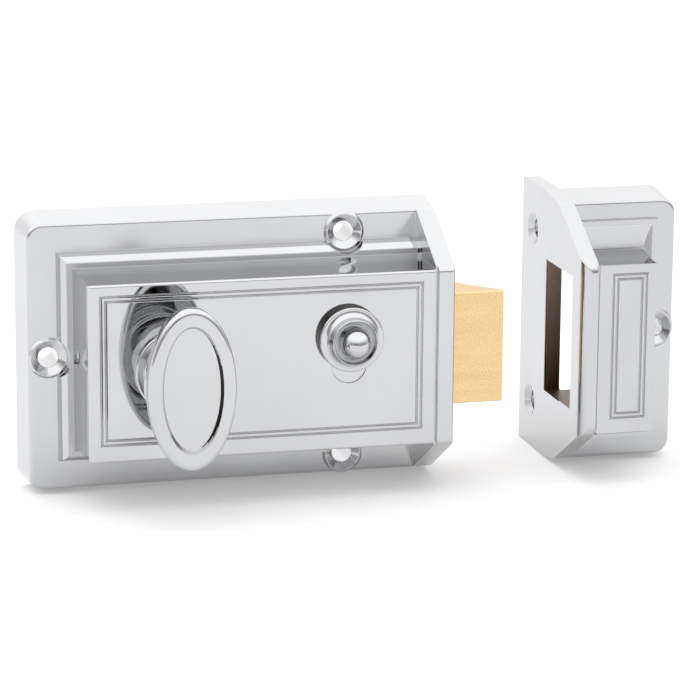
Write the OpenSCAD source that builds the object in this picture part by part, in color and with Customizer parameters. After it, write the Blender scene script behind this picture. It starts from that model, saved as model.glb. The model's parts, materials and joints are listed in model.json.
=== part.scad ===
// Rim night latch: a surface-mounted lock case with a sprung latch bolt, a turn knob
// and a hold-back snib, and the keeper that takes the bolt on the door jamb.
// X runs along the bolt, -Y is the front that faces the room, Z is up. The origin is on
// the knob's axis in the plane where the case lies on the door. Millimetres.

/* [Case] */
// Knob axis to the outer face of the forend, the latch's backset
backset = 60; // [58:1:78]
// Knob axis to the rear edge of the flange
rear_reach = 29.5; // [28:0.5:40]
// Height of the flange where it lies on the door
case_h = 60; // [58:1:76]
// Door face to the front face of the case
case_d = 27; // [26:0.5:36]
// Thickness of the flange
flange_t = 9.5; // [7:0.5:11]
// How far the flange's sides lean in from back to front
flange_draft = 1.3; // [0.5:0.1:2]
// Radius of the flange's two rear corners
flange_corner_r = 4.5; // [2:0.5:7]
// Rounding of the flange's front edge
flange_edge_r = 0.8; // [0.4:0.1:1.5]
// Height of the raised face
face_h = 37.8; // [34:0.2:39]
// Knob axis to the rear edge of the raised face
face_rear = 18.5; // [17:0.5:22]
// Wall of the casting
wall = 2.5; // [2:0.1:3]
// Thickness of the forend that the bolt comes out of
forend_t = 4; // [3:0.5:6]
// Depth of the shallow cove on the sides of the raised box
cove_run = 4.8; // [4:0.1:6]
// How far that cove spreads
cove_out = 0.85; // [0.4:0.05:1]
// Width of the ledge below it
ledge_w = 1.15; // [0.5:0.05:1.4]
// Depth of the rounded foot of the box
foot_run = 3.4; // [2.4:0.1:4]
// How far that foot spreads over the flange
foot_out = 1.7; // [1.2:0.1:2]
// Side edge of a face to the outer line of its border
border_in = 2.75; // [2:0.05:4]
// Upper and lower edge of the case's face to that line
border_in_z = 3.15; // [2:0.05:4]
// Outer line to inner line of the border
border_pitch = 1; // [0.8:0.05:1.4]
// Width of each border line
border_w = 0.6; // [0.4:0.05:0.7]
// Depth of the border lines
border_d = 0.45; // [0.2:0.05:0.6]
// How far the border sits above the middle of the face
border_lift = 0.6; // [0:0.1:1]

/* [Fixing holes] */
// Shank hole of a fixing screw
screw_d = 4.4; // [3.5:0.1:5]
// Cup that the head of a fixing screw sits in
cup_d = 7.4; // [6.5:0.1:8]
// Forend to the upper and lower fixing holes
hole_setback = 20; // [14:0.5:26]
// Flange edge to the middle of those holes
hole_edge = 5.5; // [5.3:0.1:6]

/* [Latch bolt] */
// Height of the bolt
bolt_h = 24.4; // [18:0.2:26]
// Thickness of the bolt
bolt_w = 16; // [14:0.2:17]
// Door face to the back of the bolt
bolt_back = 4; // [3.5:0.1:5]
// How far the bolt stands out of the forend
bolt_out = 12.8; // [10:0.2:15]
// How far the knob draws the bolt in
bolt_travel = 12.4; // [9:0.2:15]
// Flat left on the nose of the bevel
bolt_nose = 1; // [0.5:0.1:3]
// Running clearance round the bolt
bolt_clear = 0.15; // [0.1:0.05:0.3]
// Thickness of the tail plate
tail_t = 2.5; // [1.5:0.1:3]

/* [Knob and spindle] */
// Diameter of the spindle
spindle_d = 8; // [6:0.2:10]
// Angle the knob turns to draw the bolt in
knob_swing = 70; // [50:1:80]
// Half height of the knob's oval head
knob_half_h = 16.9; // [12:0.1:20]
// Half width of the knob's oval head
knob_half_w = 9.2; // [8:0.1:12]
// Thickness of the oval head
knob_head_t = 4; // [3:0.1:6]
// Front face of the case to the front of the knob
knob_reach = 17.2; // [14:0.1:24]
// Width of the raised rim round the knob's dished middle
knob_rim = 2.8; // [2:0.1:4]
// Depth of the dished middle
knob_dish = 1.1; // [0.4:0.1:1.4]
// Diameter of the round rose at the foot of the knob
rose_d = 17.6; // [14:0.2:20]
// Thickness of the rose
rose_t = 1.8; // [1.2:0.1:3]

/* [Snib] */
// Forend to the middle of the snib
snib_setback = 23; // [20:0.5:24]
// Knob axis up to the snib's resting place
snib_rise = 5.3; // [4:0.1:6]
// How far the snib slides down to hold the bolt
snib_travel = 5; // [4:0.1:6]
// Diameter of the snib's collar
snib_collar_d = 13.8; // [12.4:0.2:15]
// Diameter of the snib's barrel
snib_barrel_d = 9.4; // [7:0.2:10]
// Front face of the case to the tip of the snib
snib_reach = 9; // [7:0.1:12]
// Width of the slot that the snib's stem slides in
snib_slot_w = 3.8; // [3.4:0.1:4.4]
// Width of the shallow well round that slot
snib_well_w = 7.4; // [6:0.1:9]
// How far the well shows below the collar
snib_well_below = 2.9; // [1:0.1:4]

/* [Keeper] */
// Forend to the keeper's outer face, as the pair is set out
keeper_gap = 27.8; // [16:0.2:40]
// Width of the keeper along the jamb face
keeper_w = 28.2; // [26:0.2:36]
// Width of the keeper's raised box
keeper_box_w = 16.5; // [14:0.1:20]
// Height of the keeper's raised face
keeper_face_h = 37; // [35:0.5:38]
// Depth of the keeper's raised box
keeper_d = 28.4; // [26:0.2:34]
// Thickness of the keeper's flange
keeper_flange_t = 10.2; // [8:0.2:12]
// Thickness of the keeper's outer plate
keeper_plate_t = 3.6; // [3:0.1:5]
// How far that plate runs back along the edge of the jamb
keeper_lip = 15.2; // [12:0.2:20]
// Room round the bolt in the keeper's pocket, above and below
pocket_gap_z = 2.6; // [1:0.1:4]
// Room round the bolt in the keeper's pocket, front and back
pocket_gap_y = 1.3; // [0.8:0.1:2]
// Middle of the keeper to each jamb screw
jamb_hole_z = 19.7; // [17:0.1:24]
// Door face back to the jamb screws
jamb_hole_y = 7.5; // [5.5:0.1:10]

/* [Hidden] */
$fn = 64;

// Overlap that keeps joined shapes whole, then the clearances of a press fit, of a running
// fit and of parts that pass each other
eps = 0.01;
press = 0.02;
run = 0.05;
slack = 0.3;
// How far a cutting shape runs past the solid that it cuts
over = 1;

// Levels from the door towards the room, all negative
y_face = -case_d;
y_inner = y_face + wall;
plate_t = 1.6;
plate_gap = 0.1;
// Seat of the back plate past the cavity: behind it, and above and below it
plate_rim_x = 2;
plate_rim_z = 5.2;

// The casting's cavity, open at the back
cavity_x0 = -face_rear + wall;
cavity_x1 = backset - forend_t;
cavity_half = face_h / 2 - wall;
cavity_corner_r = 2;

// Profile of the box's sides: a straight wall, a shallow cove, a ledge and a rounded foot.
// A cove that starts level with the wall has the radius that its depth and spread give
box_d = case_d - flange_t;
ledge_drop = 0.3;
wall_run = box_d - foot_run - ledge_drop - cove_run;
ledge_u = wall_run + cove_run;
cove_r = (cove_run * cove_run + cove_out * cove_out) / (2 * cove_out);
foot_r = 4.5;
foot_in = cove_out + ledge_w;
moulding_out = foot_in + foot_out;
face_edge_r = 0.5;
joint_groove_w = 0.9;
joint_groove_d = 1.2;
forend_edge_r = 0.6;
forend_corner_r = 4;
forend_nose_r = 1;

// Fixing screws
hole_x = backset - hole_setback;
hole_z = case_h / 2 - hole_edge;
hole_rear_x = -rear_reach + hole_edge;
case_holes = [[hole_x, -hole_z], [hole_x, hole_z], [hole_rear_x, 0]];
cup_depth = 1.1;
crest_w = 0.2;
crest_r = cup_d / 2 + crest_w;
boss_lean = 0.5;
boss_r = crest_r + boss_lean;
boss_rise = 0.7;

// Back plate screws go into the solid flange above and below the cavity
plate_screw_d = 3;
plate_screw_head_d = 4.8;
plate_screw_l = 6;
plate_screw_in = 4;
plate_screw_x = [cavity_x0 + plate_screw_in, cavity_x1 - plate_screw_in];
plate_screw_out = 2.3;
plate_screw_z = cavity_half + plate_screw_out;

// Spindle: the knob on its nose, a washer and a clip behind the face, a slotted rear end
bush_wall = 1.5;
bush_r = spindle_d / 2 + bush_wall;
knob_foot_y = y_face - rose_t - slack;
knob_back_y = y_face - knob_reach + knob_head_t;
nose_step = 1;
nose_r = spindle_d / 2 - nose_step;
nose_grip = 1;
nose_end = knob_back_y - nose_grip;
spindle_end = -0.2;
washer_t = 0.8;
washer_lap = 1.1;
washer_r = bush_r + washer_lap;
washer_y0 = y_inner + run;
washer_y1 = washer_y0 + washer_t;
clip_t = 0.7;
clip_y0 = washer_y1 + 2 * run;
clip_y1 = clip_y0 + clip_t;
clip_groove_d = 0.7;
clip_groove_r = spindle_d / 2 - clip_groove_d;
clip_grip = 0.8;
tail_bar_w = 2.6;
tail_bar_l = 6;
tail_bar_d = 5.5;

// Cam: the lobe's tip swings evenly about the upright, so the bolt moves almost in
// proportion to the knob
tip_r = 2;
lobe_half_w = 1.6;
cam_r = bolt_travel / (2 * sin(knob_swing / 2));
cam_start = knob_swing / 2;
tip_x = cam_r * sin(cam_start);
tip_z = cam_r * cos(cam_start);
hub_wall = 2.4;
hub_r = spindle_d / 2 + hub_wall;
hub_back = 2.4;
cam_pin_r = 1;

// Bolt, tail and the pins that the cam pushes
bolt_y1 = -bolt_back;
bolt_y0 = -bolt_back - bolt_w;
bolt_rear_gap = 1;
bolt_rear = cam_r + tip_r + bolt_travel + bolt_rear_gap;
tail_in = 6;
tail_y1 = bolt_y1 - tail_in;
tail_y0 = tail_y1 - tail_t;
lobe_t = 3.4;
lobe_y0 = tail_y1 + slack;
lobe_y1 = lobe_y0 + lobe_t;
cam_pin_y = (lobe_y0 + lobe_y1) / 2;
pin_r = 2;
pin_gap = 0.5;
pin_z = (cam_r + tip_z) / 2;
pin_x = tip_x - sqrt(pow(pin_r + tip_r + pin_gap, 2) - pow(pin_z - tip_z, 2));
prong_wall = 1.2;
prong_r = pin_r + prong_wall;
tail_grip = 9;
rivet_r = 1.5;
rivet_z = 5.5;
rivet_x = bolt_rear + tail_grip / 2;

// Bolt spring on its guide rod, in front of the tail plate
spring_wire_r = 0.35;
spring_r = 2.35;
spring_turns = 14;
coil_end_gap = 0.5;
spring_y = tail_y0 - spring_r - spring_wire_r - 2 * slack;
spring_z = -9.6;
seat_t = 2;
spring_x0 = cavity_x0 + seat_t;
spring_x1 = bolt_rear;
guide_r = 1.5;
guide_clear = 0.25;
guide_bore_r = guide_r + guide_clear;
guide_end_gap = 0.6;
guide_x1 = bolt_rear - guide_end_gap;
guide_bore_spare = 2;
guide_bore_l = bolt_travel + guide_bore_spare;
guide_root = 1.2;
seat_r = 2.9;

// Snib: button outside, slide inside, washer between the slide and the wall
snib_x = backset - snib_setback;
well_foot = snib_rise - snib_collar_d / 2 - snib_well_below;
snib_washer_t = 0.3;
snib_washer_bow = 0.7;
slide_t = 1.4;
slide_y0 = y_inner + snib_washer_t + snib_washer_bow + 2 * run;
slide_y1 = slide_y0 + slide_t;
slide_half_w = 6;
stem_clear = 0.2;
stem_r = snib_slot_w / 2 - stem_clear;
stem_step = 0.5;
stem_tail_r = stem_r - stem_step;
rivet_head = 0.4;
collar_t = 2.4;
well_d = 0.3;
tongue_half_w = 1.6;
tongue_h = 2.4;
tongue_lift = 0.5;
tongue_z0 = bolt_h / 2 + tongue_lift;
tongue_bite = 7;
notch_clear = 0.35;
notch_spare = 0.1;
notch_d = snib_travel + notch_spare;

// Keeper
keeper_x0 = backset + keeper_gap;
keeper_plate_x1 = keeper_x0 + keeper_plate_t;
keeper_box_x1 = keeper_x0 + keeper_box_w;
keeper_x1 = keeper_x0 + keeper_w;
keeper_box_d = keeper_d - keeper_flange_t;
keeper_cove_d = 11.4;
keeper_cove_out = 0.8;
keeper_ledge_w = 0.5;
keeper_foot_out = 3.6;
keeper_foot_r = 12;
keeper_step_out = 1.2;
keeper_step_h = 1;
keeper_edge_r = 2.4;
keeper_corner_r = 8;
keeper_nose_r = 3;
keeper_line_w = 0.4;
keeper_line_d = 0.4;
keeper_border_shift = 0.6;
pocket_half = bolt_h / 2 + pocket_gap_z;
pocket_y0 = bolt_y0 - pocket_gap_y;
pocket_y1 = bolt_y1 + pocket_gap_y;
keeper_hole_x = keeper_x1 - hole_edge;

// Extrudes a shape drawn in X and Z between two levels of Y
module across_y(y0, y1) {
    translate([0, y1, 0])
        rotate([90, 0, 0])
            linear_extrude(height = y1 - y0) children();
}

// Extrudes a shape drawn in Y and Z between two levels of X
module across_x(x0, x1) {
    translate([x0, 0, 0])
        rotate([90, 0, 90])
            linear_extrude(height = x1 - x0) children();
}

// Extrudes a shape drawn in X and Y between two levels of Z
module across_z(z0, z1) {
    translate([0, 0, z0])
        linear_extrude(height = z1 - z0) children();
}

// Turns a profile, drawn as radius and height, about an axis that points to the front
module turned(y, x = 0, z = 0) {
    translate([x, y, z])
        rotate([90, 0, 0])
            rotate_extrude() children();
}

// A rod along Y between two levels
module rod_y(r, y0, y1, x = 0, z = 0) {
    translate([x, y1, z])
        rotate([90, 0, 0])
            cylinder(r = r, h = y1 - y0);
}

// A rod along X between two levels
module rod_x(r, x0, x1, y = 0, z = 0) {
    translate([x0, y, z])
        rotate([0, 90, 0])
            cylinder(r = r, h = x1 - x0);
}

// A rectangle with round corners, as true arcs
module round_rect(x0, x1, z0, z1, r) {
    translate([x0 + r, z0])
        square([x1 - x0 - 2 * r, z1 - z0]);
    translate([x0, z0 + r])
        square([x1 - x0, z1 - z0 - 2 * r]);
    for (x = [x0 + r, x1 - r], z = [z0 + r, z1 - r])
        translate([x, z])
            circle(r = r);
}

// A slot with round ends along Z
module slot_z(w, z0, z1) {
    translate([-w / 2, z0])
        square([w, z1 - z0]);
    for (z = [z0, z1])
        translate([0, z])
            circle(d = w);
}

// A slot with round ends along X
module slot_x(w, x0, x1) {
    rotate(-90)
        slot_z(w, x0, x1);
}

// An outline of outward corners, each rounded by its own radius with a true arc
module soft_outline(points, radii) {
    count = len(points);
    corners = [for (i = [0:count - 1])
        let (p = points[i],
            a = points[(i + count - 1) % count] - p,
            b = points[(i + 1) % count] - p,
            to_a = a / norm(a),
            to_b = b / norm(b),
            half = acos(to_a * to_b) / 2,
            inward = (to_a + to_b) / norm(to_a + to_b))
        [p + to_a * radii[i] / tan(half), p + to_b * radii[i] / tan(half),
            p + inward * radii[i] / sin(half)]];
    polygon([for (i = [0:count - 1]) each radii[i] > 0 ? [corners[i][0], corners[i][1]] : [points[i]]]);
    for (i = [0:count - 1])
        if (radii[i] > 0)
            translate(corners[i][2])
                circle(r = radii[i]);
}

// A screw hole and the cup for the screw's head, drilled along Z from the mouth of the cup
module screw_hole(length) {
    translate([0, 0, -eps])
        cylinder(d = screw_d, h = length);
    cylinder(d1 = cup_d, d2 = screw_d, h = cup_depth);
}

// The same, drilled from the front at level y
module front_screw_hole(x, y, z) {
    translate([x, y, z])
        rotate([-90, 0, 0])
            screw_hole(over - y);
}

// The low boss round a fixing hole, standing on a flange at level y
module screw_boss(x, y, z) {
    rod_y(boss_r, y, y + over, x, z);
    translate([x, y, z])
        rotate([90, 0, 0])
            cylinder(r1 = boss_r, r2 = crest_r, h = boss_rise);
}

// The room that a screwdriver needs in front of such a boss, up to level y0
module driver_room(x, y, z, y0) {
    rod_y(boss_r, y0 - over, y - boss_rise, x, z);
}

// Half section of the leaning flange edge: u runs back from its front, v runs out, and
// core is how far the section runs in
module flange_side(t, core) {
    lean = atan(flange_draft / t);
    shift = flange_edge_r * tan(45 - lean / 2);
    polygon([[0, -flange_draft - shift], [0, -core], [t, -core], [t, 0],
        [shift * cos(lean), -flange_draft + shift * sin(lean)]]);
    translate([flange_edge_r, -flange_draft - shift])
        circle(r = flange_edge_r);
}

// A flange with leaning sides, a soft front edge and two round corners at x = 0, from
// where it runs to +X
module leaning_flange(length, half, t) {
    r = flange_corner_r;
    straight = half - r;
    across_x(r, length)
        both_edges(-t, half)
            flange_side(t, half);
    across_z(-straight, straight)
        translate([0, -t])
            rotate(90)
                flange_side(t, r);
    for (side = [0, 1])
        mirror([0, 0, side])
            translate([r, 0, straight])
                rotate([90, -90, 0])
                    rotate_extrude(angle = 90)
                        translate([r, t])
                            rotate(-90)
                                flange_side(t, r);
}

// Fills a half section under a hollow curve of radius r from point p out to point q
module hollow(p, q, r) {
    chord = norm(q - p);
    outward = [p[1] - q[1], q[0] - p[0]] / chord;
    difference() {
        translate([p[0], -over])
            square([q[0] - p[0] + eps, over + q[1]]);
        translate((p + q) / 2 + outward * sqrt(r * r - chord * chord / 4))
            circle(r = r, $fn = 200);
    }
}

// Fills a half section under a round curve of radius r from point p out to point q
module swell(p, q, r) {
    chord = norm(q - p);
    outward = [p[1] - q[1], q[0] - p[0]] / chord;
    intersection() {
        translate([p[0], -over])
            square([q[0] - p[0] + eps, over + q[1] + r]);
        translate((p + q) / 2 - outward * sqrt(r * r - chord * chord / 4))
            circle(r = r, $fn = 200);
    }
}

// Half section of the raised box: u runs back from the face, v runs out from its edge
module box_side(core) {
    translate([face_edge_r, -core])
        square([box_d + eps - face_edge_r, core]);
    translate([0, -core])
        square([box_d, core - face_edge_r]);
    translate([face_edge_r, -face_edge_r])
        circle(r = face_edge_r);
    hollow([wall_run, 0], [ledge_u, cove_out], cove_r);
    translate([ledge_u, -over])
        square([box_d + eps - ledge_u, over + foot_in]);
    swell([ledge_u + ledge_drop, foot_in], [box_d, moulding_out], foot_r);
}

// Places a half section on the upper and lower edge of a section in Y and Z
module both_edges(y, half) {
    for (side = [0, 1])
        mirror([0, side])
            translate([y, half])
                children();
}

// Outline of an end plate in Y and Z: straight up to the door's face, leaning along the
// flange and then sloping in to the front, where it is front_h high
module end_outline(back, flange, front, front_h, corner_r, nose_r) {
    half = case_h / 2;
    side = [[back, half], [0, half], [-flange, half - flange_draft], [front, front_h / 2]];
    // a plate that stops at the door's face has no straight stretch
    upper = back > 0 ? side : [side[1], side[2], side[3]];
    radii = [for (p = upper) p == side[2] ? corner_r : p == side[3] ? nose_r : 0];
    last = len(upper) - 1;
    soft_outline(
        concat(upper, [for (i = [last:-1:0]) [upper[i][0], -upper[i][1]]]),
        concat(radii, [for (i = [last:-1:0]) radii[i]]));
}

// A sloped end plate between two levels of X, with its outer front edge rounded; side is
// -1 where the outer face looks to -X and 1 where it looks to +X
module sloped_plate(x0, x1, back, flange, front, front_h, corner_r, nose_r, edge_r, side) {
    outer = side > 0 ? x1 - edge_r : x0 + edge_r;
    intersection() {
        across_x(x0, x1)
            end_outline(back, flange, front, front_h, corner_r, nose_r);
        across_z(-case_h, case_h)
            union() {
                translate([x0, front + edge_r])
                    square([x1 - x0, back - front]);
                translate([side > 0 ? x0 : x0 + edge_r, front])
                    square([x1 - x0 - edge_r, 2 * edge_r]);
                translate([outer, front + edge_r])
                    circle(r = edge_r);
            }
    }
}

// The raised box of the case with mitred sides
module case_box() {
    x1 = cavity_x1 + eps;
    intersection() {
        across_x(-face_rear - moulding_out - over, x1)
            both_edges(y_face, face_h / 2)
                box_side(face_h / 2 + over);
        across_z(-case_h, case_h)
            translate([-face_rear, y_face])
                rotate(90)
                    box_side(face_rear + x1);
    }
}

// Section of a border line: a notch that is border_w wide at the surface and border_d deep
module border_notch() {
    polygon([[-border_d, -border_w], [border_d, 0], [-border_d, border_w]]);
}

// One rectangle of border lines in a face at level y; the lines cross a little at its corners
module border_ring(x0, x1, half, y) {
    for (z = [-half, half])
        across_x(x0 - border_w / 2, x1 + border_w / 2)
            translate([y, border_lift + z])
                border_notch();
    for (x = [x0, x1])
        across_z(border_lift - half - border_w / 2, border_lift + half + border_w / 2)
            translate([x, y])
                rotate(90)
                    border_notch();
}

module case() {
    color([0.82, 0.83, 0.85])
        difference() {
            union() {
                translate([-rear_reach, 0, 0])
                    leaning_flange(rear_reach + backset, case_h / 2, flange_t);
                case_box();
                sloped_plate(cavity_x1, backset, 0, flange_t, y_face, face_h, forend_corner_r,
                    forend_nose_r, forend_edge_r, 1);
                for (hole = case_holes)
                    screw_boss(hole[0], -flange_t, hole[1]);
            }
            // cavity, and the back plate's seat round it
            across_y(y_inner, over)
                round_rect(cavity_x0, cavity_x1, -cavity_half, cavity_half, cavity_corner_r);
            across_y(-plate_t, over)
                round_rect(cavity_x0 - plate_rim_x, cavity_x1, -cavity_half - plate_rim_z,
                    cavity_half + plate_rim_z, cavity_corner_r);
            for (x = plate_screw_x, z = [-plate_screw_z, plate_screw_z])
                rod_y(plate_screw_d / 2, -plate_screw_l, 0, x, z);
            // bolt mouth, spindle bore and snib slot
            across_x(cavity_x1 - over, backset + over)
                translate([bolt_y0 - bolt_clear, -bolt_h / 2 - bolt_clear])
                    square([bolt_w + 2 * bolt_clear, bolt_h + 2 * bolt_clear]);
            rod_y(bush_r, y_face - over, y_inner + over);
            across_y(y_face - over, y_inner + over)
                translate([snib_x, 0])
                    slot_z(snib_slot_w, snib_rise - snib_travel, snib_rise);
            across_y(y_face - over, y_face + well_d)
                translate([snib_x, 0])
                    slot_z(snib_well_w, well_foot + snib_well_w / 2, snib_rise);
            // fixing holes, and the driver's room past the moulding
            for (hole = case_holes) {
                front_screw_hole(hole[0], -flange_t - boss_rise, hole[1]);
                driver_room(hole[0], -flange_t, hole[1], y_face);
            }
            // joint line between the face and the forend, and the border
            across_x(cavity_x1 - joint_groove_w / 2, cavity_x1 + joint_groove_w / 2)
                translate([y_face - over, -case_h])
                    square([over + joint_groove_d, 2 * case_h]);
            for (step = [0, border_pitch])
                border_ring(-face_rear + border_in + step,
                    cavity_x1 - joint_groove_w / 2 - border_in - step,
                    face_h / 2 - border_in_z - step, y_face);
            // seat of the spring guide in the rear wall
            rod_x(guide_r, cavity_x0 - guide_root, cavity_x0 + over, spring_y, spring_z);
        }
}

module back_plate() {
    half = cavity_half + plate_rim_z - plate_gap;
    color([0.66, 0.67, 0.68])
        difference() {
            across_y(-plate_t, 0)
                round_rect(cavity_x0 - plate_rim_x + plate_gap, cavity_x1 - plate_gap, -half, half,
                    cavity_corner_r - plate_gap);
            rod_y(spindle_d / 2 + run, -plate_t - over, over);
            for (x = plate_screw_x, z = [-plate_screw_z, plate_screw_z]) {
                rod_y(plate_screw_d / 2 + plate_gap, -plate_t - over, over, x, z);
                translate([x, 0, z])
                    rotate([90, 0, 0])
                        cylinder(r1 = plate_screw_head_d / 2, r2 = plate_screw_d / 2, h = plate_t);
            }
        }
}

module back_plate_screws() {
    drive_d = 1;
    drive_w = 0.7;
    tip = 0.5;
    shank_r = plate_screw_d / 2 - run;
    end = plate_screw_l - tip;
    color([0.55, 0.55, 0.56])
        for (x = plate_screw_x, z = [-plate_screw_z, plate_screw_z])
            difference() {
                translate([x, 0, z])
                    rotate([90, 0, 0])
                        rotate_extrude()
                            polygon([[0, 0], [plate_screw_head_d / 2 - plate_gap, 0], [shank_r, plate_t],
                                [shank_r, end - tip], [shank_r - tip, end], [0, end]]);
                for (turn = [0, 90])
                    translate([x, 0, z])
                        rotate([0, turn, 0])
                            cube([plate_screw_d, 2 * drive_d, drive_w], center = true);
            }
}

// Flanged bush that carries the spindle; its stepped flange shows round the knob's foot
module knob_rose() {
    bore_r = spindle_d / 2 + run;
    sleeve_r = bush_r - press;
    step_w = 1.6;
    step_r = rose_d / 2 - step_w;
    step_drop = 0.7;
    step_h = rose_t - step_drop;
    round_r = 0.4;
    color([0.82, 0.83, 0.85])
        turned(y_inner)
            union() {
                translate([bore_r, 0])
                    square([sleeve_r - bore_r, wall + eps]);
                translate([bore_r, wall])
                    square([rose_d / 2 - bore_r, step_h - round_r]);
                translate([bore_r, wall])
                    square([rose_d / 2 - round_r - bore_r, step_h]);
                translate([rose_d / 2 - round_r, wall + step_h - round_r])
                    circle(r = round_r);
                translate([bore_r, wall])
                    square([step_r - bore_r, rose_t - round_r]);
                translate([bore_r, wall])
                    square([step_r - round_r - bore_r, rose_t]);
                translate([step_r - round_r, wall + rose_t - round_r])
                    circle(r = round_r);
            }
}

// Section of the knob's oval head as pairs of inset and height: round the back edge, up to
// the round front edge, over the rim and down into the dished middle
knob_edge_r = 1;
knob_edge_step = 22.5;
dish_slope = 0.5;
knob_section = concat(
    [for (a = [-90:knob_edge_step:0]) knob_edge_r * [1 - cos(a), 1 + sin(a)]],
    [for (a = [0:knob_edge_step:90])
        [knob_edge_r * (1 - cos(a)), knob_head_t - knob_edge_r * (1 - sin(a))]],
    [[knob_rim, knob_head_t], [knob_rim + dish_slope, knob_head_t - knob_dish]]);
oval_sides = 72;
// The ends of the oval draw in a little faster than its flanks
oval_end_draw = 1.25;

// Point s of the oval, moved in by inset and up by h
function oval_point(s, inset, h) =
    let (a = 360 * s / oval_sides)
    [(knob_half_w - inset) * cos(a), (knob_half_h - oval_end_draw * inset) * sin(a), h];

// Oval head of the knob, standing on its back
module knob_head() {
    points = [for (p = knob_section, s = [0:oval_sides - 1]) oval_point(s, p[0], p[1])];
    last = (len(knob_section) - 1) * oval_sides;
    sides = [for (i = [0:oval_sides:last - oval_sides], s = [0:oval_sides - 1])
        let (a = i + s, b = i + (s + 1) % oval_sides, c = a + oval_sides, d = b + oval_sides)
        each [[a, c, b], [b, c, d]]];
    caps = [[for (s = [0:oval_sides - 1]) s], [for (s = [oval_sides - 1:-1:0]) last + s]];
    polyhedron(points = points, faces = concat(sides, caps), convexity = 4);
}

module turn_knob() {
    // neck: a bead at the foot, a waist and a flare up to the head
    neck_foot_r = 6.2;
    neck_foot_h = 1.2;
    bead_r = 6.8;
    waist_r = 5;
    flare_r = 7.6;
    waist_hollow_r = 4.2;
    neck_l = knob_foot_y - knob_back_y;
    waist_h = neck_l / 2;
    color([0.84, 0.85, 0.87])
        difference() {
            union() {
                turned(knob_foot_y)
                    difference() {
                        union() {
                            square([neck_foot_r, neck_foot_h + eps]);
                            translate([0, neck_foot_h])
                                square([bead_r, waist_h - neck_foot_h]);
                            translate([0, waist_h - eps])
                                square([flare_r, neck_l - waist_h + knob_edge_r]);
                        }
                        translate([waist_r + waist_hollow_r, waist_h])
                            circle(r = waist_hollow_r);
                    }
                translate([0, knob_back_y, 0])
                    rotate([90, 0, 0])
                        knob_head();
            }
            rod_y(nose_r + press, nose_end - press, knob_foot_y + over);
        }
}

module spindle() {
    r = spindle_d / 2;
    color([0.62, 0.63, 0.64])
        difference() {
            union() {
                rod_y(r, knob_foot_y + run, spindle_end);
                rod_y(nose_r, nose_end, knob_foot_y + over);
            }
            // groove of the retaining clip
            difference() {
                rod_y(r + over, clip_y0 - run, clip_y1 + run);
                rod_y(clip_groove_r, clip_y0 - over, clip_y1 + over);
            }
            // slot for a cylinder's flat tail bar
            translate([-tail_bar_w / 2, -tail_bar_d, -tail_bar_l / 2])
                cube([tail_bar_w, tail_bar_d + over, tail_bar_l]);
            cam_pin_hole();
        }
}

// Cross hole for the cam's pin, through the hub and the spindle
module cam_pin_hole() {
    rod_x(cam_pin_r, -hub_r - over, hub_r + over, cam_pin_y);
}

module spindle_washer() {
    color([0.72, 0.6, 0.34])
        difference() {
            rod_y(washer_r, washer_y0, washer_y1);
            rod_y(spindle_d / 2 + run, washer_y0 - over, washer_y1 + over);
        }
}

// Open ring that springs into the spindle's groove from above
module spindle_clip() {
    mouth = 2 * clip_groove_r - clip_grip;
    color([0.45, 0.46, 0.48])
        difference() {
            rod_y(bush_r + slack, clip_y0, clip_y1);
            rod_y(clip_groove_r + run, clip_y0 - over, clip_y1 + over);
            across_y(clip_y0 - over, clip_y1 + over)
                translate([-mouth / 2, -spindle_d])
                    square([mouth, spindle_d]);
        }
}

// Two lobes on one hub, leaning towards the bolt, so either turn of the knob draws it in
module retractor_cam() {
    color([0.6, 0.6, 0.58])
        difference() {
            union() {
                rod_y(hub_r, lobe_y0, -hub_back);
                for (side = [-1, 1]) {
                    across_y(lobe_y0, lobe_y1)
                        rotate(side * (90 - cam_start))
                            translate([0, -lobe_half_w])
                                square([cam_r, 2 * lobe_half_w]);
                    rod_y(tip_r, lobe_y0, lobe_y1, tip_x, side * tip_z);
                }
            }
            rod_y(spindle_d / 2 + press, lobe_y0 - over, 0);
            cam_pin_hole();
        }
}

module cam_pin() {
    sunk = 0.2;
    half = hub_r - sunk;
    color([0.5, 0.5, 0.52])
        rod_x(cam_pin_r - press, -half, half, cam_pin_y);
}

// Brass bolt: a nose bevelled at the back, two snib notches on top, a slot for the tail
module latch_bolt() {
    tip_x1 = backset + bolt_out;
    edge_r = 0.4;
    notch_half_w = tongue_half_w + notch_clear;
    color([0.83, 0.68, 0.38])
        difference() {
            intersection() {
                across_z(-bolt_h / 2, bolt_h / 2)
                    polygon([[bolt_rear, bolt_y0], [tip_x1, bolt_y0], [tip_x1, bolt_y0 + bolt_nose],
                        [backset, bolt_y1], [bolt_rear, bolt_y1]]);
                across_x(bolt_rear, tip_x1)
                    round_rect(bolt_y0, bolt_y1, -bolt_h / 2, bolt_h / 2, edge_r);
            }
            // the notches are one bolt travel apart
            for (shift = [0, bolt_travel])
                translate([snib_x + shift - notch_half_w, bolt_y0 - over, bolt_h / 2 - notch_d])
                    cube([2 * notch_half_w, tongue_bite + 2 * slack + over, notch_d + over]);
            translate([bolt_rear - over, tail_y0 - press, -bolt_h / 2 - over])
                cube([tail_grip + press + over, tail_t + 2 * press, bolt_h + 2 * over]);
            for (z = [-rivet_z, rivet_z])
                rod_y(rivet_r, bolt_y0 - over, bolt_y1 + over, rivet_x, z);
            // blind bore that the spring guide runs in
            rod_x(guide_bore_r, bolt_rear - over, bolt_rear + guide_bore_l, spring_y, spring_z);
        }
}

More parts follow.
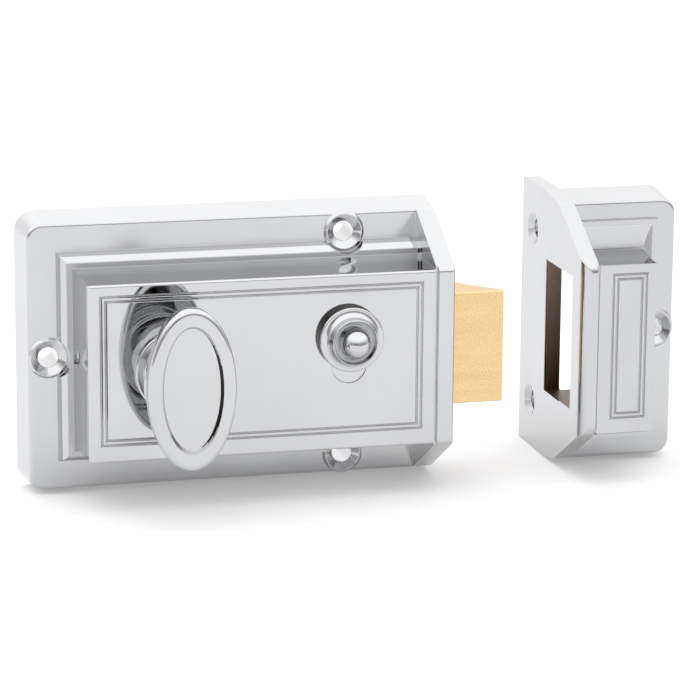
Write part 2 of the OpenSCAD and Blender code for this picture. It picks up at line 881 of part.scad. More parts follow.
// Forked plate: a web in the bolt's slot, and two prongs past the spindle to the drive pins
module bolt_tail() {
    web_inset = 0.4;
    web_half = bolt_h / 2 - web_inset;
    color([0.58, 0.59, 0.6])
        across_y(tail_y0, tail_y1)
            difference() {
                union() {
                    for (z = [-pin_z, pin_z])
                        translate([0, z])
                            slot_x(2 * prong_r, pin_x, bolt_rear - prong_r - slack);
                    translate([bolt_travel, -web_half])
                        square([bolt_rear + tail_grip - bolt_travel, 2 * web_half]);
                }
                // room for the spindle when the bolt is drawn in
                translate([bolt_travel, 0])
                    circle(r = spindle_d / 2 + slack);
                for (z = [-pin_z, pin_z])
                    translate([pin_x, z])
                        circle(r = pin_r);
                for (z = [-rivet_z, rivet_z])
                    translate([rivet_x, z])
                        circle(r = rivet_r);
            }
}

module bolt_rivets() {
    sunk = 0.1;
    color([0.8, 0.66, 0.4])
        for (z = [-rivet_z, rivet_z])
            rod_y(rivet_r - press, bolt_y0 + sunk, bolt_y1 - sunk, rivet_x, z);
}

module drive_pins() {
    color([0.5, 0.5, 0.52])
        for (z = [-pin_z, pin_z])
            rod_y(pin_r - press, tail_y0, lobe_y1 + slack, pin_x, z);
}

// Point on the bolt spring's centre line at turn t, with closed end turns
function coil_point(t) =
    let (lead = 2 * spring_wire_r + coil_end_gap, live = spring_turns - 2,
        pitch = (spring_x1 - spring_x0 - 2 * spring_wire_r - 2 * lead) / live,
        x = t < 1 ? t * lead : t > live + 1 ? lead + live * pitch + (t - live - 1) * lead
            : lead + (t - 1) * pitch)
    [spring_x0 + spring_wire_r + x, spring_y + spring_r * cos(360 * t), spring_z + spring_r * sin(360 * t)];

rings_per_turn = 8;
wire_sides = 6;
coil_rings = spring_turns * rings_per_turn;
coil_line = [for (i = [0:coil_rings]) coil_point(i / rings_per_turn)];

// Ring of points round the wire at step i, square to the coil
function wire_ring(i) =
    let (t = i / rings_per_turn,
        out = [0, cos(360 * t), sin(360 * t)])
    [for (s = [0:wire_sides - 1])
        let (a = 360 * s / wire_sides)
        coil_line[i] + spring_wire_r * (cos(a) * out + sin(a) * [1, 0, 0])];

// Least gap between the wire and itself, between points over half a turn apart
coil_gap = min([for (i = [0:coil_rings], j = [i + rings_per_turn / 2 + 1:1:coil_rings])
    norm(coil_line[i] - coil_line[j])]) - 2 * spring_wire_r;

module bolt_spring() {
    echo(bolt_spring_least_gap_mm = coil_gap);
    points = [for (i = [0:coil_rings]) each wire_ring(i)];
    last = coil_rings * wire_sides;
    sides = [for (i = [0:coil_rings - 1], s = [0:wire_sides - 1])
        let (a = i * wire_sides + s, b = i * wire_sides + (s + 1) % wire_sides,
            c = a + wire_sides, d = b + wire_sides)
        each [[a, c, b], [b, c, d]]];
    caps = [for (s = [1:wire_sides - 2]) each [[0, s, s + 1], [last, last + s + 1, last + s]]];
    color([0.6, 0.61, 0.63])
        polyhedron(points = points, faces = concat(sides, caps), convexity = 10);
}

module spring_guide() {
    color([0.64, 0.65, 0.66])
        rod_x(guide_r - press, cavity_x0 - guide_root, guide_x1, spring_y, spring_z);
}

module spring_seat() {
    color([0.74, 0.62, 0.36])
        difference() {
            rod_x(seat_r, cavity_x0, spring_x0, spring_y, spring_z);
            rod_x(guide_r, cavity_x0 - over, spring_x0 + over, spring_y, spring_z);
        }
}

// Turned snib: stem in the slot, collar, bell-shaped barrel with a soft shoulder, domed tip
module snib_button() {
    collar_r = snib_collar_d / 2;
    collar_edge_r = 0.9;
    barrel_r = snib_barrel_d / 2;
    bell_r = collar_r - collar_edge_r - barrel_r;
    collar_y = y_face - slack;
    dome_r = 2.6;
    dome_h = snib_reach - slack;
    dome_out = 3.6;
    barrel_top = dome_h - dome_out;
    shoulder_r = 1.4;
    color([0.85, 0.84, 0.82])
        union() {
            turned(collar_y, snib_x, snib_rise)
                union() {
                    square([collar_r, collar_t - collar_edge_r]);
                    square([collar_r - collar_edge_r, collar_t]);
                    translate([collar_r - collar_edge_r, collar_t - collar_edge_r])
                        circle(r = collar_edge_r);
                    difference() {
                        square([barrel_r + bell_r, collar_t + bell_r]);
                        translate([barrel_r + bell_r, collar_t + bell_r])
                            circle(r = bell_r);
                    }
                    square([barrel_r, barrel_top - shoulder_r]);
                    square([barrel_r - shoulder_r, barrel_top]);
                    translate([barrel_r - shoulder_r, barrel_top - shoulder_r])
                        circle(r = shoulder_r);
                    intersection() {
                        square([dome_r, dome_h]);
                        translate([0, dome_h - dome_r])
                            circle(r = dome_r);
                    }
                }
            rod_y(stem_r, collar_y - eps, slide_y0, snib_x, snib_rise);
            rod_y(stem_tail_r, slide_y0 - eps, slide_y1 + rivet_head, snib_x, snib_rise);
        }
}

// Steel slide: a plate behind the face with a tongue that drops into the bolt's notches
module snib_slide() {
    below = 8;
    shoulder = 2;
    corner_r = 1;
    top = tongue_z0 + tongue_h;
    color([0.6, 0.61, 0.62])
        difference() {
            union() {
                across_y(slide_y0, slide_y1)
                    round_rect(snib_x - slide_half_w, snib_x + slide_half_w, snib_rise - below,
                        top - shoulder, corner_r);
                across_y(slide_y0, slide_y1)
                    translate([snib_x - tongue_half_w, 0])
                        square([2 * tongue_half_w, top]);
                across_y(slide_y0, bolt_y0 + tongue_bite)
                    translate([snib_x - tongue_half_w, tongue_z0])
                        square([2 * tongue_half_w, tongue_h]);
            }
            rod_y(stem_tail_r, slide_y0 - over, slide_y1 + over, snib_x, snib_rise);
        }
}

// Bowed spring washer that gives the snib its drag
module snib_washer() {
    edge_gap = 0.2;
    r_out = slide_half_w - edge_gap;
    r_in = stem_r + stem_clear;
    bow_r = (r_out * r_out + snib_washer_bow * snib_washer_bow) / (2 * snib_washer_bow);
    y_top = y_inner + run;
    y_end = slide_y1;
    color([0.45, 0.46, 0.48])
        intersection() {
            difference() {
                rod_y(r_out, y_inner - over, y_end, snib_x, snib_rise);
                rod_y(r_in, y_inner - 2 * over, y_end + over, snib_x, snib_rise);
            }
            translate([snib_x - 2 * r_out, y_top + bow_r, snib_rise])
                rotate([0, 90, 0])
                    difference() {
                        cylinder(r = bow_r, h = 4 * r_out, $fn = 200);
                        translate([0, 0, -over])
                            cylinder(r = bow_r - snib_washer_t, h = 4 * r_out + 2 * over, $fn = 200);
                    }
        }
}

// Half section of the keeper's moulding: a deep cove, a ledge, a hollow foot and a step
module keeper_side(core) {
    step_u = keeper_box_d - keeper_step_h;
    curve_r = (pow(keeper_cove_d, 2) + pow(keeper_cove_out, 2)) / (2 * keeper_cove_out);
    foot_v = keeper_cove_out + keeper_ledge_w;
    foot_end = foot_v + keeper_foot_out;
    translate([0, -core])
        square([keeper_box_d + eps, core]);
    hollow([0, 0], [keeper_cove_d, keeper_cove_out], curve_r);
    translate([keeper_cove_d, -over])
        square([keeper_box_d + eps - keeper_cove_d, over + foot_v]);
    hollow([keeper_cove_d + ledge_drop, foot_v], [step_u, foot_end], keeper_foot_r);
    translate([step_u, -over])
        square([keeper_box_d + eps - step_u, over + foot_end + keeper_step_out]);
}

module keeper() {
    face_half = keeper_face_h / 2;
    root = 1;
    hollow_spare = 1;
    hollow_half = pocket_half + hollow_spare;
    hollow_corner_r = 1.5;
    moulding_reach = keeper_cove_out + keeper_ledge_w + keeper_foot_out + keeper_step_out + over;
    color([0.82, 0.83, 0.85])
        difference() {
            union() {
                // outer plate with its lip behind the jamb's face
                sloped_plate(keeper_x0, keeper_plate_x1, keeper_lip, keeper_flange_t, -keeper_d,
                    keeper_face_h, keeper_corner_r, keeper_nose_r, keeper_edge_r, -1);
                translate([keeper_x1, 0, 0])
                    mirror([1, 0, 0])
                        leaning_flange(keeper_w - root, case_h / 2, keeper_flange_t);
                screw_boss(keeper_hole_x, -keeper_flange_t, 0);
                // raised box
                intersection() {
                    across_x(keeper_plate_x1 - keeper_line_w / 2, keeper_box_x1 + moulding_reach)
                        both_edges(-keeper_d, face_half)
                            keeper_side(face_half + over);
                    across_z(-case_h, case_h)
                        translate([keeper_box_x1, -keeper_d])
                            mirror([1, 0])
                                rotate(90)
                                    keeper_side(keeper_box_w);
                }
            }
            // pocket for the bolt: mouth in the plate, hollow open at the back
            across_x(keeper_x0 - over, keeper_plate_x1 + over)
                translate([pocket_y0, -pocket_half])
                    square([pocket_y1 - pocket_y0, 2 * pocket_half]);
            across_y(-keeper_d + wall, over)
                round_rect(keeper_plate_x1, keeper_box_x1 - wall, -hollow_half, hollow_half,
                    hollow_corner_r);
            // jamb screws through the lip
            for (z = [-jamb_hole_z, jamb_hole_z])
                translate([keeper_x0, jamb_hole_y, z])
                    rotate([0, 90, 0])
                        screw_hole(keeper_plate_t + over);
            // face screw beside the box
            front_screw_hole(keeper_hole_x, -keeper_flange_t - boss_rise, 0);
            driver_room(keeper_hole_x, -keeper_flange_t, 0, -keeper_d);
            // joint line between the plate and the box, and the border
            across_x(keeper_plate_x1 - keeper_line_w / 2, keeper_plate_x1 + keeper_line_w / 2)
                translate([-keeper_d - over, -face_half])
                    square([over + keeper_line_d, keeper_face_h]);
            for (inset = [border_in, border_in + border_pitch])
                border_ring(keeper_plate_x1 + inset + keeper_border_shift,
                    keeper_box_x1 - inset + keeper_border_shift, face_half - inset, -keeper_d);
        }
}

case();
back_plate();
back_plate_screws();
knob_rose();
turn_knob();
spindle();
spindle_washer();
spindle_clip();
retractor_cam();
cam_pin();
latch_bolt();
bolt_tail();
bolt_rivets();
drive_pins();
bolt_spring();
spring_guide();
spring_seat();
snib_button();
snib_slide();
snib_washer();
keeper();
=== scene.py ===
# %% [markdown]
# A rim night latch, finished in Blender.
# The latch is a chromed casting that is screwed to the inside of a door, with a turn knob, a
# hold-back button and a sprung brass bolt, and a keeper that takes the bolt on the door jamb.
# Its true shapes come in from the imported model, in metres: X runs along the bolt towards the
# keeper, -Y is the front that faces the room, and Z is up. This lesson gives those shapes their
# finishes, remakes three pieces that call for a finer skin, and sets up the studio.

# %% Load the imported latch
import json
import math

import bpy
from mathutils import Matrix, Vector


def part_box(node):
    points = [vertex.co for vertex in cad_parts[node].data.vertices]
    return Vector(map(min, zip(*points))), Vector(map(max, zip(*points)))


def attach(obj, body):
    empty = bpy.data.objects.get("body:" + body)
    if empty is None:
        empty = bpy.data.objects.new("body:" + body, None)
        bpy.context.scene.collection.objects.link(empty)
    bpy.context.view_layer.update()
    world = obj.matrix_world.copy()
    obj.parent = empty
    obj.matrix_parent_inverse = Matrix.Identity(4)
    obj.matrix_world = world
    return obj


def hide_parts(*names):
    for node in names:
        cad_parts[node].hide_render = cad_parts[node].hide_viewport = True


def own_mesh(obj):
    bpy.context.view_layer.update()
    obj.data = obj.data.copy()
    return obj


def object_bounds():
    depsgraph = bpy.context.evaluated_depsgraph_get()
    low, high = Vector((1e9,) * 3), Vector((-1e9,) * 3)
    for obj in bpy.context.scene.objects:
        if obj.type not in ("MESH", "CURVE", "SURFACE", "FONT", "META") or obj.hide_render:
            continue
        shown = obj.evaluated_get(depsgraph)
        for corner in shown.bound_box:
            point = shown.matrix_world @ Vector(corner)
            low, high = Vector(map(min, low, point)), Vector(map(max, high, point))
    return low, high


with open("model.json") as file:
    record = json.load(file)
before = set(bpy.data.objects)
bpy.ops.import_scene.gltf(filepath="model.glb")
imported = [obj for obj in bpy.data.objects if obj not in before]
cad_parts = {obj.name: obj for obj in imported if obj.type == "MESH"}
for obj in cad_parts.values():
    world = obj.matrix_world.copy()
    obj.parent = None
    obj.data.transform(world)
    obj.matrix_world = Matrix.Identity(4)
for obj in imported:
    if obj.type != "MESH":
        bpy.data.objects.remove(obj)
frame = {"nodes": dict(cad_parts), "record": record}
cad_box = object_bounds()
nodes = frame["nodes"]
MM = 0.001
print("size in mm", [round((high - low) / MM, 1) for low, high in zip(*cad_box)])

# %% [markdown]
# The camera comes first, because every later choice is judged through it.
# A product photograph like this one is taken from well back with a long lens, so that parallel
# edges stay nearly parallel. The camera could be placed by its coordinates, but an orbit reads
# better: a point to look at, how far round and how far up the camera stands, and its distance.

# %% Camera on an orbit
AIM_AT = Vector((41.5, -10.0, -1.6)) * MM
CAMERA_ROUND = math.radians(-14.45)
CAMERA_UP = math.radians(13.54)
CAMERA_ROLL = math.radians(0.45)
CAMERA_DISTANCE = 715.35 * MM
CAMERA_NEAREST = 10 * MM
LENS_MM = 170.73
SENSOR_MM = 36.0


def direction(round_angle, up_angle):
    """Unit vector from the object out to a point on the orbit; 0, 0 is straight in front."""
    level = math.cos(up_angle)
    return Vector((math.sin(round_angle) * level, -math.cos(round_angle) * level, math.sin(up_angle)))


camera = bpy.data.objects.new("camera", bpy.data.cameras.new("camera"))
bpy.context.scene.collection.objects.link(camera)
camera.data.lens = LENS_MM
camera.data.sensor_width = SENSOR_MM
camera.data.clip_start = CAMERA_NEAREST
camera_out = direction(CAMERA_ROUND, CAMERA_UP)
look_in = (-camera_out).to_track_quat("-Z", "Y").to_matrix().to_4x4()
camera_turn = look_in @ Matrix.Rotation(CAMERA_ROLL, 4, "Z")
camera.matrix_world = Matrix.Translation(AIM_AT + camera_out * CAMERA_DISTANCE) @ camera_turn
bpy.context.scene.camera = camera
print("camera at mm", [round(c / MM, 1) for c in camera.matrix_world.translation])

# %% [markdown]
# The floor is a plain pale sheet under the latch, lit a little from below like a light table.
# Chrome has no colour of its own, it shows what stands around it, so the floor is half of the
# finish: the front faces show little but its reflection. The glow keeps the shadows pale, as
# they are on a translucent table. One large quad is enough: its edge lies far outside the view.

# %% Floor
FLOOR_HALF = 3.0
FLOOR_COLOUR = (0.605, 0.605, 0.61, 1)
FLOOR_ROUGH = 0.9
FLOOR_GLOW = 0.26
WHITE = (1, 1, 1, 1)
SQUARE = ((-1, -1), (1, -1), (1, 1), (-1, 1))
floor_z = cad_box[0].z


def add_mesh(name, points, faces):
    """A mesh object in the scene from its points and faces."""
    mesh = bpy.data.meshes.new(name)
    mesh.from_pydata(points, [], faces)
    mesh.update()
    piece = bpy.data.objects.new(name, mesh)
    bpy.context.scene.collection.objects.link(piece)
    return piece


def flat_sheet(name, corners):
    """A sheet of the studio, of one face through the given corners."""
    sheet = add_mesh(name, corners, [list(range(len(corners)))])
    return sheet


floor = flat_sheet("floor", [(x * FLOOR_HALF, y * FLOOR_HALF, floor_z) for x, y in SQUARE])
floor_paint = bpy.data.materials.new("floor_paint")
floor_paint.use_nodes = True
floor_shader = floor_paint.node_tree.nodes["Principled BSDF"]
floor_shader.inputs["Base Color"].default_value = FLOOR_COLOUR
floor_shader.inputs["Roughness"].default_value = FLOOR_ROUGH
floor_shader.inputs["Specular IOR Level"].default_value = 0.0
floor_shader.inputs["Emission Color"].default_value = WHITE
floor_shader.inputs["Emission Strength"].default_value = FLOOR_GLOW
floor.data.materials.append(floor_paint)
print("floor at z mm", round(floor_z / MM, 2))

# %% [markdown]
# The light of a photographer's tent: white from above and behind, dimmer towards the camera.
# A plain white surround would make the chrome look like grey paint, because nothing dark would
# run along its edges. So the surround is a gradient by direction. The axes of a direction run
# from -1 to 1, and the gradient is written by them: upwards along Z, and front to back along Y.

# %% Surround
SKY = 1.67
SKY_FROM, SKY_FULL = 0.15, 0.65
FRONT_LOW, BACK_LOW = 0.48, 1.2
FRONT_UP_TO, BACK_FROM = -0.7, 0.5

world = bpy.data.worlds.new("tent")
bpy.context.scene.world = world
world.use_nodes = True
room = world.node_tree


def run_along(tree, value, start, stop, low, high, kind="LINEAR"):
    """A run from low to high while the value goes from start to stop; gives its socket."""
    run = tree.nodes.new("ShaderNodeMapRange")
    run.interpolation_type = kind
    for socket, number in zip(("From Min", "From Max", "To Min", "To Max"), (start, stop, low, high)):
        run.inputs[socket].default_value = number
    tree.links.new(value, run.inputs["Value"])
    return run.outputs["Result"]


toward = room.nodes.new("ShaderNodeTexCoord")
axes = room.nodes.new("ShaderNodeSeparateXYZ")
room.links.new(toward.outputs["Generated"], axes.inputs[0])
height = run_along(room, axes.outputs["Z"], SKY_FROM, SKY_FULL, 0, 1, "SMOOTHSTEP")
low_light = run_along(room, axes.outputs["Y"], FRONT_UP_TO, BACK_FROM, FRONT_LOW, BACK_LOW, "SMOOTHSTEP")
upward = room.nodes.new("ShaderNodeMix")
room.links.new(height, upward.inputs["Factor"])
room.links.new(low_light, upward.inputs["A"])
upward.inputs["B"].default_value = SKY
backdrop = room.nodes["Background"]
backdrop.inputs["Color"].default_value = WHITE
room.links.new(upward.outputs["Result"], backdrop.inputs["Strength"])
print("surround overhead", SKY, "low behind", BACK_LOW, "low in front", FRONT_LOW)

# %% [markdown]
# A broad panel overhead gives the soft shadow.
# It hangs a little behind and to the left, so the shadow falls to the front and right. A small
# lamp would throw a shadow too, but one with hard edges. The panel is kept out of reflections:
# added to the white above, it would burn out every upward face.

# %% Panel overhead
PANEL_AT = Vector((-0.12, 0.05, 0.95))
PANEL_SIDE = 1.1
PANEL_POWER = 2.9

panel = bpy.data.objects.new("panel", bpy.data.lights.new("panel", "AREA"))
panel.data.shape = "SQUARE"
panel.data.size = PANEL_SIDE
panel.data.energy = PANEL_POWER
panel.location = PANEL_AT
panel.rotation_euler = (AIM_AT - PANEL_AT).to_track_quat("-Z", "Y").to_euler()
panel.visible_glossy = False
bpy.context.scene.collection.objects.link(panel)
print("panel power", PANEL_POWER)

# %% [markdown]
# A dark card where the camera stands, seen only in reflections.
# Polished metal shows the camera as a small dark patch, and domes and round edges look flat
# without it. The card stands just behind the camera, is hidden from it and throws no shadow, so
# it changes nothing but what the chrome shows.

# %% Dark card
CARD_HALF = 0.07
CARD_BEHIND = 0.05
CARD_GLOW = 0.06

card_side, card_up = camera_turn.col[0].to_3d(), camera_turn.col[1].to_3d()
card_middle = AIM_AT + camera_out * (CAMERA_DISTANCE + CARD_BEHIND)
card_corners = [card_middle + CARD_HALF * (a * card_side + b * card_up) for a, b in SQUARE]
card = flat_sheet("camera_card", card_corners)
card_paint = bpy.data.materials.new("card_paint")
card_paint.use_nodes = True
card_tree = card_paint.node_tree
card_tree.nodes.clear()
card_glow = card_tree.nodes.new("ShaderNodeEmission")
card_glow.inputs["Color"].default_value = WHITE
card_glow.inputs["Strength"].default_value = CARD_GLOW
card_end = card_tree.nodes.new("ShaderNodeOutputMaterial")
card_tree.links.new(card_glow.outputs["Emission"], card_end.inputs["Surface"])
card.data.materials.append(card_paint)
card.visible_camera = False
card.visible_diffuse = False
card.visible_shadow = False
print("card", card.name, "side mm", round(2 * CARD_HALF / MM))

# %% [markdown]
# Every finish here is bare metal that noise makes uneven.
# No real surface has one gloss and one colour all over. Painted textures would show that too, but
# noise needs no picture and no unwrapping: it is worked out in the object's own metres, and small
# helpers turn it into colour, gloss or relief. Colour and gloss use only the middle of the noise,
# because its far ends are rare.

# %% Noise in a finish
NOISE_DETAIL = 2.0
EVEN = (1, 1, 1)


def new_finish(name):
    """A material with one Principled shader set to bare metal; gives the material and the shader."""
    finish = bpy.data.materials.new(name)
    finish.use_nodes = True
    shader = finish.node_tree.nodes["Principled BSDF"]
    shader.inputs["Metallic"].default_value = 1.0
    return finish, shader


def noise(finish, scale, detail=NOISE_DETAIL, stretch=EVEN):
    """Noise in the object's own metres, stretched along its axes; gives the value's socket."""
    tree = finish.node_tree
    place = tree.nodes.new("ShaderNodeTexCoord")
    pull = tree.nodes.new("ShaderNodeMapping")
    pull.inputs["Scale"].default_value = stretch
    grain = tree.nodes.new("ShaderNodeTexNoise")
    grain.inputs["Scale"].default_value = scale
    grain.inputs["Detail"].default_value = detail
    tree.links.new(place.outputs["Object"], pull.inputs["Vector"])
    tree.links.new(pull.outputs["Vector"], grain.inputs["Vector"])
    return grain.outputs["Fac"]


print("noise ready, detail", NOISE_DETAIL)

# %% Colour, gloss and relief from noise
COLOUR_FROM, COLOUR_TO = 0.35, 0.65
GLOSS_FROM, GLOSS_TO = 0.3, 0.7


def blend_colour(finish, value, dark, light):
    """Colour that runs from dark to light over the middle of the noise; gives its socket."""
    ramp = finish.node_tree.nodes.new("ShaderNodeValToRGB")
    for end, position, colour in zip(ramp.color_ramp.elements, (COLOUR_FROM, COLOUR_TO), (dark, light)):
        end.position = position
        end.color = colour
    finish.node_tree.links.new(value, ramp.inputs["Fac"])
    return ramp.outputs["Color"]


def spread(finish, value, low, high):
    """The middle of the noise, spread from low to high; gives its socket."""
    return run_along(finish.node_tree, value, GLOSS_FROM, GLOSS_TO, low, high)


def relief(finish, value, depth, below=None):
    """Bump of that depth in metres, on top of another normal; gives the normal's socket."""
    bump = finish.node_tree.nodes.new("ShaderNodeBump")
    bump.inputs["Strength"].default_value = 1.0
    bump.inputs["Distance"].default_value = depth
    finish.node_tree.links.new(value, bump.inputs["Height"])
    if below is not None:
        finish.node_tree.links.new(below, bump.inputs["Normal"])
    return bump.outputs["Normal"]


print("colour runs over", (COLOUR_FROM, COLOUR_TO), "of the noise, gloss over", (GLOSS_FROM, GLOSS_TO))

# %% [markdown]
# Chrome plate over a polished casting.
# Bright chrome reflects little more than half of the light, almost without tint. What tells it
# from a perfect mirror is the casting beneath: polishing leaves slow waves that bend reflections a
# little, and a faint haze. Both come from noise, kept so low that flat faces still read flat. The
# edges could be rounded in the mesh, but a Bevel node does it in the shading and leaves the
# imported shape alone.

# %% Chrome
CHROME_DARK = (0.528, 0.532, 0.54)
CHROME_LIGHT = (0.552, 0.556, 0.565)
CHROME_CLOUDS = {"scale": 55, "detail": 3}
CHROME_HAZE = {"scale": 240, "detail": 4}
CHROME_ROUGH = (0.025, 0.06)
CHROME_WAVES = {"scale": 70, "detail": 1}
CHROME_WAVE_DEPTH = 0.004 * MM
CHROME_EDGE_R = 0.2 * MM
CHROME_EDGE_SAMPLES = 6


def chrome_finish(name, strength=1.0):
    """Chrome plate with slow waves, haze and soft edges; gives its shader and edge node too."""
    finish, shader = new_finish(name)
    links = finish.node_tree.links
    dark, light = [[strength * part for part in colour] + [1] for colour in (CHROME_DARK, CHROME_LIGHT)]
    clouds, haze, waves = [noise(finish, **kind) for kind in (CHROME_CLOUDS, CHROME_HAZE, CHROME_WAVES)]
    soft_edges = finish.node_tree.nodes.new("ShaderNodeBevel")
    soft_edges.samples = CHROME_EDGE_SAMPLES
    soft_edges.inputs["Radius"].default_value = CHROME_EDGE_R
    wavy = relief(finish, waves, CHROME_WAVE_DEPTH, soft_edges.outputs["Normal"])
    links.new(blend_colour(finish, clouds, dark, light), shader.inputs["Base Color"])
    links.new(spread(finish, haze, *CHROME_ROUGH), shader.inputs["Roughness"])
    links.new(wavy, shader.inputs["Normal"])
    return finish, shader, soft_edges


chrome = chrome_finish("bright_chrome")[0]
print("made", chrome.name)

# %% [markdown]
# The cast housings are the same chrome, but no wheel reaches every corner of them.
# The flange is only satin polished and the narrow ledge round the raised box stays matt, while
# faces and walls shine. Such a change of finish needs no second material: a mask says where a
# surface lies, in the object's own metres, and the shader's gloss or colour follows it.

# %% Masks from tests
AXES = range(3)


def split(finish, node_kind, output):
    """Sockets of the X, Y and Z of what a new input node gives."""
    tree = finish.node_tree
    source = tree.nodes.new(node_kind)
    parts = tree.nodes.new("ShaderNodeSeparateXYZ")
    tree.links.new(source.outputs[output], parts.inputs[0])
    return parts.outputs


def all_of(finish, tests, amount=1.0):
    """The amount where every test of (operation, socket, limit) holds, else 0; gives its socket."""
    tree = finish.node_tree
    for operation, value, limit in tests:
        test = tree.nodes.new("ShaderNodeMath")
        test.operation = operation
        test.inputs[1].default_value = limit
        tree.links.new(value, test.inputs[0])
        kept = tree.nodes.new("ShaderNodeMath")
        kept.operation = "MULTIPLY"
        tree.links.new(test.outputs["Value"], kept.inputs[0])
        if isinstance(amount, float):
            kept.inputs[1].default_value = amount
        else:
            tree.links.new(amount, kept.inputs[1])
        amount = kept.outputs["Value"]
    return amount


def inside_box(finish, low, high, amount=1.0):
    """The amount inside a box and 0 outside; gives its socket."""
    at = split(finish, "ShaderNodeTexCoord", "Object")
    return all_of(finish, [("GREATER_THAN", at[axis], low[axis]) for axis in AXES]
                  + [("LESS_THAN", at[axis], high[axis]) for axis in AXES], amount)


print("masks test", len(AXES), "axes, each from below and above")

# %% Changes inside a mask
MIX_NUMBERS = ("FLOAT", 2, 3, 0)
MIX_COLOURS = ("RGBA", 6, 7, 2)


def change_inside(finish, socket, inside, value):
    """Blends a shader's socket to another number or colour by how much of the mask there is."""
    tree = finish.node_tree
    mix = tree.nodes.new("ShaderNodeMix")
    mix.data_type, before, after, result = MIX_NUMBERS if isinstance(value, float) else MIX_COLOURS
    tree.links.new(inside, mix.inputs["Factor"])
    tree.links.new(socket.links[0].from_socket, mix.inputs[before])
    mix.inputs[after].default_value = value
    tree.links.new(mix.outputs[result], socket)


print("masks change", MIX_NUMBERS[0], "and", MIX_COLOURS[0])

# %% [markdown]
# Polishing also leaves the upper wall of a raised box a little hollow.
# The hollow is only about a fifth of a millimetre deep, but it changes what a mirror shows: more
# of the wall then shows the ledge at its foot and not the sky. The model keeps its true walls,
# and the hollow is added to the shader's normal, where a surface faces up near the front.

# %% Hollow walls
WALL_DEEP = 9 * MM
WALL_ROLL_FRONT = math.tan(math.radians(3.75))
WALL_ROLL_BACK = -math.tan(math.radians(1.25))
WALL_FACES_UP = 0.98


def hollow_walls(finish, soft_edges, front_y):
    """Rolls the normals of upward walls, from the front backwards, before the edges are softened."""
    tree = finish.node_tree
    at = split(finish, "ShaderNodeTexCoord", "Object")
    facing = split(finish, "ShaderNodeNewGeometry", "Normal")
    end_y = front_y + WALL_DEEP
    roll = run_along(tree, at["Y"], front_y, end_y, WALL_ROLL_FRONT, WALL_ROLL_BACK)
    amount = all_of(finish, [("GREATER_THAN", facing["Z"], WALL_FACES_UP),
                             ("LESS_THAN", at["Y"], end_y)], roll)
    surface = tree.nodes.new("ShaderNodeNewGeometry")
    back = tree.nodes.new("ShaderNodeCombineXYZ")
    rolled = tree.nodes.new("ShaderNodeVectorMath")
    unit = tree.nodes.new("ShaderNodeVectorMath")
    unit.operation = "NORMALIZE"
    tree.links.new(amount, back.inputs["Y"])
    tree.links.new(surface.outputs["Normal"], rolled.inputs[0])
    tree.links.new(back.outputs["Vector"], rolled.inputs[1])
    tree.links.new(rolled.outputs["Vector"], unit.inputs[0])
    tree.links.new(unit.outputs["Vector"], soft_edges.inputs["Normal"])


print("walls roll by", round(WALL_ROLL_FRONT, 4), "in front and", round(WALL_ROLL_BACK, 4), "behind")

# %% Case chrome
LEDGE_Y = (-13.35 * MM, -12.95 * MM)
LEDGE_ROUGH = 0.5
FLANGE_Y = (-9.6 * MM, -9.4 * MM)
FLANGE_ROUGH = 0.17
FOREND_T = 4.5 * MM

case_chrome, case_shader, case_edges = chrome_finish("case_chrome")
case_low, case_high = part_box("case")
forend_x = case_high.x - FOREND_T
hollow_walls(case_chrome, case_edges, case_low.y)
for (start, stop), rough in ((LEDGE_Y, LEDGE_ROUGH), (FLANGE_Y, FLANGE_ROUGH)):
    strip = inside_box(case_chrome, (case_low.x, start, case_low.z), (forend_x, stop, case_high.z))
    change_inside(case_chrome, case_shader.inputs["Roughness"], strip, rough)
print("made", case_chrome.name)

# %% [markdown]
# The keeper is chrome outside and raw casting inside.
# The plating bath hardly reaches into the pocket, so its walls stay dull and brownish. Colour and
# gloss change inside a box that holds the pocket, and a painted shade, darker towards the bottom,
# is mixed in by height. The foot of the moulding above is satin, because a polishing wheel hardly
# gets at it, and its chrome is also painted darker, as painted shade.

# %% Keeper chrome with a satin foot
KEEPER_SHADE_SCALE = 0.95
KEEPER_PLATE_T = 3.6 * MM
KEEPER_FOOT_Y = (-17.2 * MM, -11.3 * MM)
KEEPER_FOOT_Z = 18 * MM
KEEPER_FOOT_SHADE_COLOUR = (0.42, 0.423, 0.43, 1)
KEEPER_FOOT_ROUGH = 0.3

# Painted shade: the keeper's chrome is a dimmer copy of the case chrome, its colour scaled down.
keeper_chrome, keeper_shader, keeper_edges = chrome_finish("keeper_chrome", KEEPER_SHADE_SCALE)
keeper_colour, keeper_rough = keeper_shader.inputs["Base Color"], keeper_shader.inputs["Roughness"]
keeper_low, keeper_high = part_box("keeper")
hollow_walls(keeper_chrome, keeper_edges, keeper_low.y)
keeper_plate_x = keeper_low.x + KEEPER_PLATE_T
keeper_foot = inside_box(keeper_chrome, (keeper_plate_x, KEEPER_FOOT_Y[0], KEEPER_FOOT_Z),
                         (keeper_high.x, KEEPER_FOOT_Y[1], keeper_high.z))
# Painted shade: the foot's chrome is darker than the rest; its satin gloss is real.
change_inside(keeper_chrome, keeper_colour, keeper_foot, KEEPER_FOOT_SHADE_COLOUR)
change_inside(keeper_chrome, keeper_rough, keeper_foot, KEEPER_FOOT_ROUGH)
print("made", keeper_chrome.name)

# %% Raw pocket of the keeper
POCKET_LOW = (88.2 * MM, -26.2 * MM, -16.1 * MM)
POCKET_HIGH = (102.1 * MM, 0.0, 16.1 * MM)
RAW_COLOUR = (0.56, 0.47, 0.41, 1)
RAW_ROUGH = 0.42
POCKET_SHADE_COLOUR = (0.13, 0.09, 0.055, 1)

